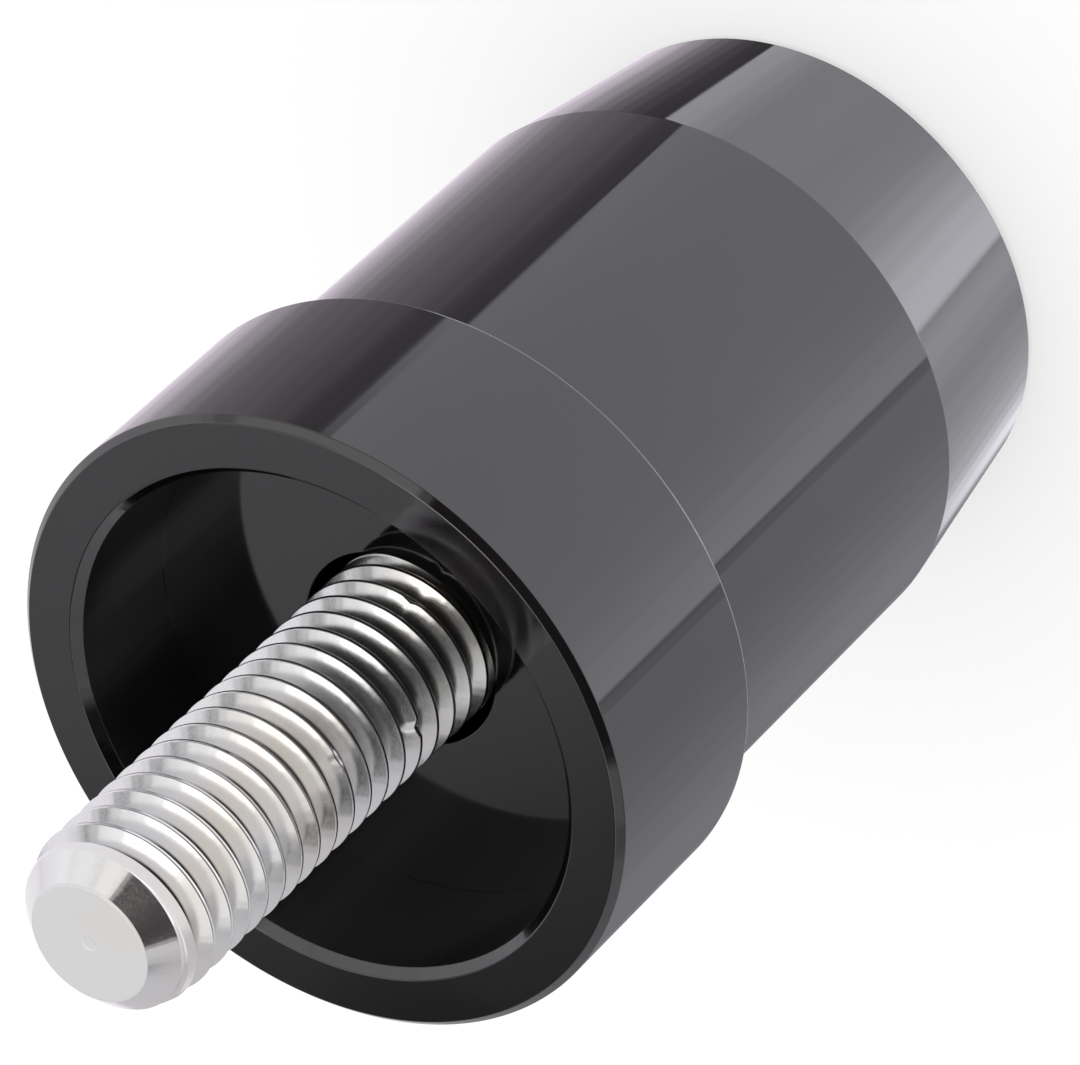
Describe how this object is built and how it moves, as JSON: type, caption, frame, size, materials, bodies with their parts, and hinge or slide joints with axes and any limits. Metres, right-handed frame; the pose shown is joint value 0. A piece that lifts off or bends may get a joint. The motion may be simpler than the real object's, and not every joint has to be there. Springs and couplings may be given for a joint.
{
  "type": "bar end weight",
  "caption": "Round turned weight that caps a handlebar: cup and rim at the bar side, tapered outer end, held by a threaded through screw.",
  "frame": {"origin": "centre of the outer end face, on the surface it stands on", "axes": "+Z along the turned axis, from the outer end to the screw's tip"},
  "size_m": [0.0284, 0.0284, 0.0544],
  "materials": {
    "gloss_black": "gloss black on turned steel",
    "bright_steel": "bright plated steel"
  },
  "bodies": {
    "root": {"weight_body": "gloss_black", "through_screw": "bright_steel"}
  },
  "joints": []
}
